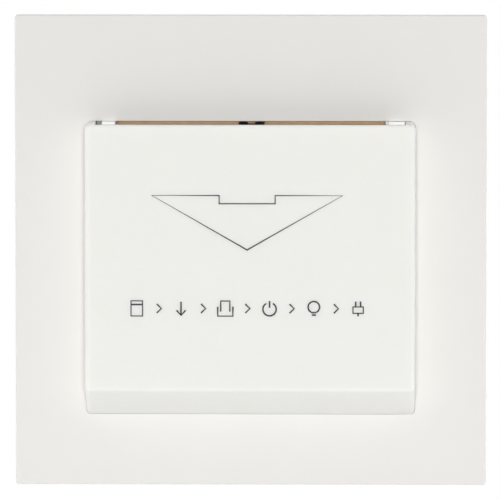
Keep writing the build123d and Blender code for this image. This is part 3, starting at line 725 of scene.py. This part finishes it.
def run_tree(piece, tree, values):
    """Run a tree on an object with these input values, and keep the plain mesh it makes."""
    modifier = piece.modifiers.new(tree.name, "NODES")
    modifier.node_group = tree
    identifiers = {
        item.name: item.identifier
        for item in tree.interface.items_tree
        if item.item_type == "SOCKET" and item.in_out == "INPUT"
    }
    for label, value in values.items():
        modifier[identifiers[label]] = value
    return settle(piece)


MATERIAL = "NodeSocketMaterial"
INTEGER = "NodeSocketInt"
BOOLEAN = "NodeSocketBool"
print("tree helpers ready")

# %% Build the ink stroke tree
def build_ink_stroke():
    """A tree that sweeps a flat stroke of ink along every path."""
    tree, given, result = new_tree(
        "ink_stroke",
        [("Width", FLOAT, 0.25 * MM), ("Thickness", FLOAT, 0.02 * MM), ("Ink", MATERIAL, None)],
    )
    stroke = add_node(tree, "GeometryNodeCurvePrimitiveQuadrilateral")
    wire(tree, given, "Width", stroke, "Width")
    wire(tree, given, "Thickness", stroke, "Height")
    upright = add_node(tree, "GeometryNodeSetCurveNormal", mode="Z_UP")
    sweep = add_node(tree, "GeometryNodeCurveToMesh")
    sweep.inputs["Fill Caps"].default_value = True
    inked = add_node(tree, "GeometryNodeSetMaterial")
    whole = add_node(tree, "GeometryNodeRealizeInstances")
    wire(tree, given, "Geometry", upright, "Curve")
    wire(tree, upright, "Curve", sweep, "Curve")
    wire(tree, stroke, "Curve", sweep, "Profile Curve")
    wire(tree, sweep, "Mesh", whole, "Geometry")
    wire(tree, whole, "Geometry", inked, "Geometry")
    wire(tree, given, "Ink", inked, "Material")
    wire(tree, inked, "Geometry", result, "Geometry")
    return tree


ink_stroke = build_ink_stroke()
finish["print_ink"] = moulded(
    "print_ink", colour(50, 52, 58), roughness=0.6, cloudiness=0.2, grain=9000.0
)
print("tree", ink_stroke.name, "has", len(ink_stroke.nodes), "nodes")

# %% [markdown]
# The paths are drawn flat, as on paper, with x to the right and y up. A path is closed when its
# last point should meet its first. After the sweep, the flat sheet is stood up against the cover.

# %% Helper that prints a set of paths
def print_paths(name, paths, width):
    """Sweep the ink stroke along flat paths in millimetres and stand them on the cover."""
    sheet = bpy.data.curves.new(name, "CURVE")
    sheet.dimensions = "3D"
    for points, closed in paths:
        spline = sheet.splines.new("POLY")
        spline.points.add(len(points) - 1)
        spline.use_cyclic_u = closed
        for point, (x, y) in zip(spline.points, points):
            point.co = (x * MM, y * MM, 0.0, 1.0)
    values = {"Width": width, "Thickness": ink_thickness, "Ink": finish["print_ink"]}
    piece = run_tree(add_object(name, sheet), ink_stroke, values)
    stand_up = Matrix.Rotation(math.radians(90), 4, "X")
    on_cover = Matrix.Translation((0, print_y - ink_thickness / 2, 0))
    piece.data.transform(on_cover @ stand_up)
    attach(piece, "base")


# %% [markdown]
# The arrow is a wide triangle with its point down and a shallow notch in its top edge. Five sizes
# describe it, in millimetres on the cover.

# %% Print the arrow
art_middle = -0.5
arrow_half = 17.28
arrow_top = 10.74
arrow_tip = 0.85
notch_half = 5.07
notch_depth = 1.49
arrow = [
    (art_middle - arrow_half, arrow_top),
    (art_middle - notch_half, arrow_top),
    (art_middle - notch_half, arrow_top - notch_depth),
    (art_middle + notch_half, arrow_top - notch_depth),
    (art_middle + notch_half, arrow_top),
    (art_middle + arrow_half, arrow_top),
    (art_middle, arrow_tip),
]
hairline = 0.28 * MM
print_paths("arrow_print", [(arrow, True)], hairline)
print("arrow is", 2 * arrow_half, "mm wide and", arrow_top - arrow_tip, "mm high")

# %% [markdown]
# Below the arrow, a row of small signs shows what to do and what follows: a card, down into the
# pocket, then power, light and sockets. Every sign is drawn in a square one unit high. A round
# shape is points on a circle.

# %% Draw the signs
RING_STEPS = 20


def ring(x, y, radius, start, end):
    """Points on part of a circle, from one angle to another in degrees."""
    turn = [start + (end - start) * step / RING_STEPS for step in range(RING_STEPS + 1)]
    return [
        (x + radius * math.cos(math.radians(a)), y + radius * math.sin(math.radians(a)))
        for a in turn
    ]


def box_path(x0, y0, x1, y1):
    """The corners of an upright box, from two opposite ones."""
    return [(x0, y0), (x1, y0), (x1, y1), (x0, y1)]


card_sign = [(box_path(0.12, 0.0, 0.88, 1.0), True), ([(0.12, 0.76), (0.88, 0.76)], False)]
down_sign = [([(0.5, 0.95), (0.5, 0.08)], False), ([(0.2, 0.38), (0.5, 0.05), (0.8, 0.38)], False)]
pocket_sign = [
    ([(0.0, 0.62), (0.0, 0.0), (1.0, 0.0), (1.0, 0.62)], False),
    ([(0.2, 0.3), (0.2, 1.0), (0.8, 1.0), (0.8, 0.3)], False),
]
next_sign = [([(0.36, 0.8), (0.66, 0.5), (0.36, 0.2)], False)]
power_sign = [
    (ring(0.5, 0.46, 0.44, 120.0, 420.0), False),
    ([(0.5, 0.56), (0.5, 1.0)], False),
]
lamp_sign = [
    (ring(0.5, 0.6, 0.38, -60.0, 240.0), False),
    ([(0.32, 0.24), (0.68, 0.24)], False),
    ([(0.36, 0.08), (0.64, 0.08)], False),
]
plug_sign = [
    (box_path(0.16, 0.2, 0.84, 0.62), True),
    ([(0.34, 0.62), (0.34, 0.98)], False),
    ([(0.66, 0.62), (0.66, 0.98)], False),
    ([(0.5, 0.2), (0.5, 0.0)], False),
]
sign_row = [card_sign]
for sign in (down_sign, pocket_sign, power_sign, lamp_sign, plug_sign):
    sign_row += [next_sign, sign]
print(len(sign_row), "signs in the row")

# %% Print the row of signs
row_left = -21.9
row_right = 21.0
sign_height = 2.75
row_bottom = -11.2
sign_step = (row_right - row_left - sign_height) / (len(sign_row) - 1)
sign_paths = []
for place, sign in enumerate(sign_row):
    left = row_left + place * sign_step
    for points, closed in sign:
        moved = [(left + x * sign_height, row_bottom + y * sign_height) for x, y in points]
        sign_paths.append((moved, closed))
print_paths("sign_print", sign_paths, hairline)
print("signs every", round(sign_step, 2), "mm")

# %% [markdown]
# ## Screws
#
# Ten screws hold the switch together, and four more clamp the wires. All are turned parts: a
# shank, a pan head with a rounded top, and a recess for the driver. One Geometry Nodes tree builds
# a screw and sets one on every point that it is given. The shank is a cylinder. Its top face is
# pushed up and widened in steps to make the head, which is how a lathe hand would describe it.
# The recess is cut with one bar for a slotted screw and two for a crossed one. Each screw is then
# turned by its own random angle, because no two stop at the same place.

# %% Build the screw tree
def feed(tree, value, socket):
    """Set a socket to a plain number, or wire an output to it."""
    if isinstance(value, float):
        socket.default_value = value
    else:
        tree.links.new(value, socket)


def push_top(tree, mesh, top, height, spread):
    """Push a mesh's top face up by a height and scale it by a spread."""
    push = add_node(tree, "GeometryNodeExtrudeMesh", mode="FACES")
    push.inputs["Individual"].default_value = False
    feed(tree, mesh, push.inputs["Mesh"])
    feed(tree, top, push.inputs["Selection"])
    feed(tree, height, push.inputs["Offset Scale"])
    scale = add_node(tree, "GeometryNodeScaleElements", domain="FACE")
    wire(tree, push, "Mesh", scale, "Geometry")
    wire(tree, push, "Top", scale, "Selection")
    feed(tree, spread, scale.inputs["Scale"])
    return scale.outputs["Geometry"], push.outputs["Top"]


def build_screws():
    """A tree that builds a screw and sets one on every point."""
    tree, given, result = new_tree(
        "screws",
        [
            ("Shank Radius", FLOAT, 1.2 * MM),
            ("Shank Length", FLOAT, 10 * MM),
            ("Head Spread", FLOAT, 2.0),
            ("Head Height", FLOAT, 2 * MM),
            ("Recess Length", FLOAT, 2.4 * MM),
            ("Recess Width", FLOAT, 0.6 * MM),
            ("Crossed", BOOLEAN, True),
            ("Facing", VECTOR, (0.0, 0.0, 0.0)),
            ("Seed", INTEGER, 1),
            ("Metal", MATERIAL, None),
        ],
    )
    shank = add_node(tree, "GeometryNodeMeshCylinder", fill_type="NGON")
    shank.inputs["Vertices"].default_value = 40
    wire(tree, given, "Shank Radius", shank, "Radius")
    wire(tree, given, "Shank Length", shank, "Depth")

    side = add_node(tree, "ShaderNodeMath", operation="MULTIPLY")
    side.inputs[1].default_value = 0.7
    dome = add_node(tree, "ShaderNodeMath", operation="MULTIPLY")
    dome.inputs[1].default_value = 0.15
    wire(tree, given, "Head Height", side, 0)
    wire(tree, given, "Head Height", dome, 0)
    mesh, top = shank.outputs["Mesh"], shank.outputs["Top"]
    mesh, top = push_top(tree, mesh, top, 0.0, given.outputs["Head Spread"])
    mesh, top = push_top(tree, mesh, top, side.outputs[0], 1.0)
    mesh, top = push_top(tree, mesh, top, dome.outputs[0], 0.92)
    mesh, top = push_top(tree, mesh, top, dome.outputs[0], 0.8)

    reach = add_node(tree, "ShaderNodeMath", operation="MULTIPLY_ADD")
    reach.inputs[1].default_value = 0.5
    wire(tree, given, "Shank Length", reach, 0)
    wire(tree, given, "Head Height", reach, 2)
    crown = add_node(tree, "ShaderNodeCombineXYZ")
    wire(tree, reach, 0, crown, "Z")
    bars = []
    for turn in (0.0, math.pi / 2):
        size = add_node(tree, "ShaderNodeCombineXYZ")
        wire(tree, given, "Recess Length", size, "X")
        wire(tree, given, "Recess Width", size, "Y")
        wire(tree, given, "Head Height", size, "Z")
        bar = add_node(tree, "GeometryNodeMeshCube")
        wire(tree, size, "Vector", bar, "Size")
        lifted = add_node(tree, "GeometryNodeTransform")
        lifted.inputs["Rotation"].default_value = (0.0, 0.0, turn)
        wire(tree, bar, "Mesh", lifted, "Geometry")
        wire(tree, crown, "Vector", lifted, "Translation")
        bars.append(lifted)
    second = add_node(tree, "GeometryNodeSwitch", input_type="GEOMETRY")
    wire(tree, given, "Crossed", second, "Switch")
    wire(tree, bars[1], "Geometry", second, "True")
    cut = add_node(tree, "GeometryNodeMeshBoolean", operation="DIFFERENCE")
    feed(tree, mesh, cut.inputs["Mesh 1"])
    wire(tree, bars[0], "Geometry", cut, "Mesh 2")
    wire(tree, second, "Output", cut, "Mesh 2")

    rows = add_node(tree, "GeometryNodeInstanceOnPoints")
    wire(tree, given, "Geometry", rows, "Points")
    wire(tree, cut, "Mesh", rows, "Instance")
    wire(tree, given, "Facing", rows, "Rotation")
    stop = add_node(tree, "FunctionNodeRandomValue", data_type="FLOAT")
    stop.inputs[3].default_value = math.tau
    wire(tree, given, "Seed", stop, "Seed")
    spin = add_node(tree, "ShaderNodeCombineXYZ")
    wire(tree, stop, 1, spin, "Z")
    turned = add_node(tree, "GeometryNodeRotateInstances")
    turned.inputs["Local Space"].default_value = True
    wire(tree, rows, "Instances", turned, "Instances")
    wire(tree, spin, "Vector", turned, "Rotation")
    whole = add_node(tree, "GeometryNodeRealizeInstances")
    plated = add_node(tree, "GeometryNodeSetMaterial")
    wire(tree, turned, "Instances", whole, "Geometry")
    wire(tree, whole, "Geometry", plated, "Geometry")
    wire(tree, given, "Metal", plated, "Material")
    wire(tree, plated, "Geometry", result, "Geometry")
    return tree


screw_tree = build_screws()
print("tree", screw_tree.name, "has", len(screw_tree.nodes), "nodes")

# %% [markdown]
# Where the screws go is read from the solids, not typed in again. A node of fasteners is a group
# of separate solids, so welding its copy and walking from point to point finds each one. The box
# round each gives its axis, and the first box gives the head and the length for the whole row.

# %% Read the boxes of a node's separate solids
def solid_boxes(node_name):
    """The lowest and highest corner of each separate solid of a node, from left to right."""
    copy = welded_copy(node_name)
    waiting = set(copy.verts)
    boxes = []
    while waiting:
        todo = [waiting.pop()]
        corners = []
        while todo:
            point = todo.pop()
            corners.append(point.co.copy())
            for edge in point.link_edges:
                other = edge.other_vert(point)
                if other in waiting:
                    waiting.remove(other)
                    todo.append(other)
        low = Vector([min(c[axis] for c in corners) for axis in range(3)])
        high = Vector([max(c[axis] for c in corners) for axis in range(3)])
        boxes.append((low, high))
    copy.free()
    return sorted(boxes, key=lambda pair: (round(pair[0].x, 5), round(pair[0].z, 5)))


print("housing screws:", len(solid_boxes("housing_screws")))

# %% [markdown]
# A screw that faces the rear has its head on the +Y side. Facing is a rotation that takes the
# tree's upright screw to that side or to the other.

# %% Set the screws
TO_REAR = (math.radians(-90), 0.0, 0.0)
TO_ROOM = (math.radians(90), 0.0, 0.0)


def set_screws(node_name, shank_radius, head_height, recess, facing, crossed, seed):
    """Replace a node of fasteners by modelled screws on the same axes."""
    boxes = solid_boxes(node_name)
    low, high = boxes[0]
    head_radius = (high.x - low.x) / 2
    length = high.y - low.y - head_height
    direction = 1 if facing == TO_REAR else -1
    points = bpy.data.meshes.new(node_name + "_spots")
    spots = []
    for low, high in boxes:
        middle = (low + high) / 2
        middle.y -= direction * head_height / 2
        spots.append(middle)
    points.from_pydata(spots, [], [])
    values = {
        "Shank Radius": shank_radius,
        "Shank Length": length,
        "Head Spread": head_radius / shank_radius,
        "Head Height": head_height,
        "Recess Length": recess[0],
        "Recess Width": recess[1],
        "Crossed": crossed,
        "Facing": facing,
        "Seed": seed,
        "Metal": finish[slot_of[node_name]],
    }
    piece = run_tree(add_object(node_name + "_turned", points), screw_tree, values)
    smooth(piece, EDGE_ANGLE)
    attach(piece, "base")
    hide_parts(node_name)


crossed_recess = (2.6 * MM, 0.55 * MM)
small_recess = (2.0 * MM, 0.45 * MM)
slot_recess = (6.0 * MM, 0.8 * MM)
set_screws("housing_screws", 1.25 * MM, 2.0 * MM, crossed_recess, TO_REAR, True, 3)
set_screws("guide_screws", 0.78 * MM, 1.1 * MM, small_recess, TO_REAR, True, 5)
set_screws("power_board_screws", 0.88 * MM, 1.6 * MM, small_recess, TO_ROOM, True, 7)
set_screws("terminal_screws", 1.45 * MM, 1.6 * MM, slot_recess, TO_REAR, False, 9)
print("set four rows of screws")

# %% [markdown]
# ## The lever's spring
#
# A torsion spring returns the lever. It is one wire: a straight leg that rests on the bracket, two
# and a half turns round the hub, and a longer leg that lies behind the arm and pushes it forward.
# The path is worked out turn by turn in a loop, and a small tree sweeps a round section along it.

# %% Build the round wire tree
def build_round_wire():
    """A tree that sweeps a round wire along a path."""
    tree, given, result = new_tree(
        "round_wire",
        [("Wire Radius", FLOAT, 0.2 * MM), ("Sides", INTEGER, 12), ("Metal", MATERIAL, None)],
    )
    section = add_node(tree, "GeometryNodeCurvePrimitiveCircle")
    wire(tree, given, "Sides", section, "Resolution")
    wire(tree, given, "Wire Radius", section, "Radius")
    sweep = add_node(tree, "GeometryNodeCurveToMesh")
    sweep.inputs["Fill Caps"].default_value = True
    whole = add_node(tree, "GeometryNodeRealizeInstances")
    drawn = add_node(tree, "GeometryNodeSetMaterial")
    wire(tree, given, "Geometry", sweep, "Curve")
    wire(tree, section, "Curve", sweep, "Profile Curve")
    wire(tree, sweep, "Mesh", whole, "Geometry")
    wire(tree, whole, "Geometry", drawn, "Geometry")
    wire(tree, given, "Metal", drawn, "Material")
    wire(tree, drawn, "Geometry", result, "Geometry")
    return tree


round_wire = build_round_wire()
print("tree", round_wire.name, "has", len(round_wire.nodes), "nodes")

# %% Wind the spring
lever_joint = next(joint for joint in frame["joints"] if joint["name"] == "card_lever_swing")
pivot = Vector(lever_joint["pos_m"])
rest_angle = math.radians(lever_joint["range_deg"][1])
coil_radius = 1.78 * MM
coil_pitch = 0.37 * MM
coil_turns = 2.5
coil_left = -0.34 * MM
rest_leg = 2.0 * MM
arm_leg = 5.0 * MM
wire_radius = 0.165 * MM
wire_sides = 12
steps_per_turn = 36


def spring_path():
    """The wire's centre line, from the tip of one leg to the tip of the other."""
    path = []
    for step in range(int(coil_turns * steps_per_turn) + 1):
        turn = step / steps_per_turn
        angle = math.tau * turn - rest_angle
        x = coil_left + coil_pitch * turn
        y = pivot.y + coil_radius * math.cos(angle)
        z = pivot.z + coil_radius * math.sin(angle)
        path.append(Vector((x, y, z)))
    first_way = Vector((0, math.sin(rest_angle), math.cos(rest_angle)))
    path.insert(0, path[0] - first_way * rest_leg)
    path.append(path[-1] - first_way * arm_leg)
    return path


spring_curve = bpy.data.curves.new("lever_spring_wire", "CURVE")
spring_curve.dimensions = "3D"
spring_line = spring_curve.splines.new("POLY")
spring_points = spring_path()
spring_line.points.add(len(spring_points) - 1)
for point, spot in zip(spring_line.points, spring_points):
    point.co = (*spot, 1.0)
spring_values = {
    "Wire Radius": wire_radius,
    "Sides": wire_sides,
    "Metal": finish["spring_wire"],
}
spring = run_tree(add_object("lever_spring_wire", spring_curve), round_wire, spring_values)
wire_end_angle = math.radians(60)
smooth(spring, wire_end_angle)
print("spring has", len(spring_points), "points on its path")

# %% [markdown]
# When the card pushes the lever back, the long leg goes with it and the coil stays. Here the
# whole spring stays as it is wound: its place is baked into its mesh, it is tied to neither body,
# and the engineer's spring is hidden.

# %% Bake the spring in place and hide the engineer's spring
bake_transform(spring)
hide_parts("lever_spring")

# %% [markdown]
# ## Floor, light and camera
#
# The picture is a catalogue view: the switch alone on white. The world is white where the camera,
# a reflection or a clear plastic looks at it, and a plain level elsewhere. The floor lies some way
# below and takes the shadow. It gives off a little light of its own to the camera alone, so that it
# looks as white as the world while it still shows the shadow.

# %% World and floor
def build_world(level):
    """A world that looks white and lights the object at a plain level."""
    world = bpy.data.worlds.new("studio")
    world.use_nodes = True
    tree = world.node_tree
    tree.nodes.clear()
    rays = add_node(tree, "ShaderNodeLightPath")
    seen = add_node(tree, "ShaderNodeMath", operation="MAXIMUM")
    wire(tree, rays, "Is Camera Ray", seen, 0)
    wire(tree, rays, "Is Glossy Ray", seen, 1)
    clear = add_node(tree, "ShaderNodeMath", operation="MAXIMUM")
    wire(tree, seen, 0, clear, 0)
    wire(tree, rays, "Is Transmission Ray", clear, 1)
    strength = add_node(tree, "ShaderNodeMapRange")
    strength.inputs["To Min"].default_value = level
    strength.inputs["To Max"].default_value = 1.0
    wire(tree, clear, 0, strength, "Value")
    background = add_node(tree, "ShaderNodeBackground")
    background.inputs["Color"].default_value = (1.0, 1.0, 1.0, 1.0)
    wire(tree, strength, "Result", background, "Strength")
    output = add_node(tree, "ShaderNodeOutputWorld")
    wire(tree, background, "Background", output, "Surface")
    return world


world_level = 0.06
scene.world = build_world(world_level)

floor_drop = 75 * MM
floor_half = 0.55
floor_grey = 0.9
floor_glow_share = 0.5
floor_mesh = bpy.data.meshes.new("floor")
floor_z = cad_box[0].z - floor_drop
floor_turns = ((-1, -1), (1, -1), (1, 1), (-1, 1))
floor_corners = [(x * floor_half, y * floor_half, floor_z) for x, y in floor_turns]
floor_mesh.from_pydata(floor_corners, [], [(0, 1, 2, 3)])
floor = add_object("floor", floor_mesh)
floor_material, floor_tree, floor_shader = new_material("pale_floor")
floor_shader.inputs["Base Color"].default_value = (floor_grey, floor_grey, floor_grey, 1.0)
floor_shader.inputs["Roughness"].default_value = 0.9
floor_shader.inputs["Emission Color"].default_value = (1.0, 1.0, 1.0, 1.0)
floor_rays = add_node(floor_tree, "ShaderNodeLightPath")
floor_glow = add_node(floor_tree, "ShaderNodeMath", operation="MULTIPLY")
floor_glow.inputs[1].default_value = floor_glow_share
wire(floor_tree, floor_rays, "Is Camera Ray", floor_glow, 0)
wire(floor_tree, floor_glow, 0, floor_shader, "Emission Strength")
floor_mesh.materials.append(floor_material)
print("floor is", round(floor_drop / MM), "mm below the plate")

# %% [markdown]
# The light is soft and comes almost from the camera, so one box beside the camera does most of the
# work, and hardly any other light reaches down into the slot. A weak box above lights the upper
# faces, one on each side draws the pocket's rims, and two behind light the back for other views.
# Each line of the table gives a box's place, its size and its watts.

# %% Lamps
def soft_lamp(name, spot, size, watts):
    """A square or oblong soft light that faces the switch."""
    lamp = bpy.data.lights.new(name, "AREA")
    lamp.shape = "RECTANGLE"
    lamp.size, lamp.size_y = size
    lamp.energy = watts
    holder = bpy.data.objects.new(name, lamp)
    scene.collection.objects.link(holder)
    holder.location = spot
    holder.rotation_euler = (-Vector(spot)).to_track_quat("-Z", "Y").to_euler()


lamps = {
    "front_box": ((0.03, -1.5, 0.14), (0.3, 0.1), 14.2),
    "top_box": ((0.0, -0.05, 0.9), (0.8, 0.4), 3.2),
    "left_box": ((-0.8, 0.0, 0.0), (0.2, 0.3), 1.6),
    "right_box": ((0.8, 0.0, 0.0), (0.2, 0.3), 1.4),
    "rear_left_box": ((-0.75, 0.7, 0.25), (0.5, 0.5), 6.5),
    "rear_right_box": ((0.75, 0.7, 0.25), (0.5, 0.5), 6.5),
}
for lamp_name, (spot, size, watts) in lamps.items():
    soft_lamp(lamp_name, spot, size, watts)
print(len(lamps), "soft lamps")

# %% [markdown]
# The photograph was taken from a little above and a hair to the right with a long lens. The camera
# aims at the middle of the plate's face, and its angle of view makes the frame 91.2 mm wide there.

# %% Camera
camera_distance = 1.2
camera_elevation = math.radians(5.2)
camera_azimuth = math.radians(1.0)
frame_width = 91.2 * MM
aim = Vector((-0.12 * MM, plate_low.y, 0.12 * MM))
back = Vector(
    (
        math.sin(camera_azimuth) * math.cos(camera_elevation),
        -math.cos(camera_azimuth) * math.cos(camera_elevation),
        math.sin(camera_elevation),
    )
)
camera_data = bpy.data.cameras.new("camera")
camera_data.angle = 2 * math.atan(frame_width / 2 / camera_distance)
camera = bpy.data.objects.new("camera", camera_data)
scene.collection.objects.link(camera)
camera.location = aim + back * camera_distance
camera.rotation_euler = (-back).to_track_quat("-Z", "Y").to_euler()
scene.camera = camera
scene.view_settings.view_transform = "Standard"
print("lens", round(camera_data.lens), "mm")
